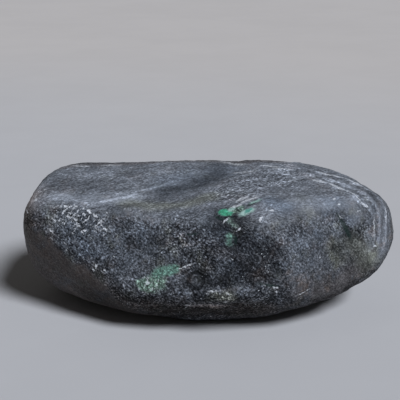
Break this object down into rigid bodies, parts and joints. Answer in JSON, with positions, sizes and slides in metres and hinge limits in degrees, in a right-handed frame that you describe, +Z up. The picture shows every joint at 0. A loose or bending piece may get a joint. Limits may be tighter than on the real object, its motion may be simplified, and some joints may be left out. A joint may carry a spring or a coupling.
{
  "type": "raw jade boulder",
  "caption": "River-worn lump of raw jade in its dark speckled rind, with broad worn faces, a shallow dip across its top, and a flat spot underneath that it rests on.",
  "frame": {"origin": "centre of the stone's bounding box in plan, at the height of the surface it lies on", "axes": "+X along the stone's length to its tapered end, -Y out of its broad dark front, +Z up"},
  "size_m": [0.25, 0.15, 0.094],
  "materials": {
    "jade_rind": "dark blue-grey worn rind with a fine light and dark grain, pale streaks and a few green jade patches; satin, unpolished"
  },
  "bodies": {
    "root": {"boulder": "jade_rind"}
  },
  "joints": []
}
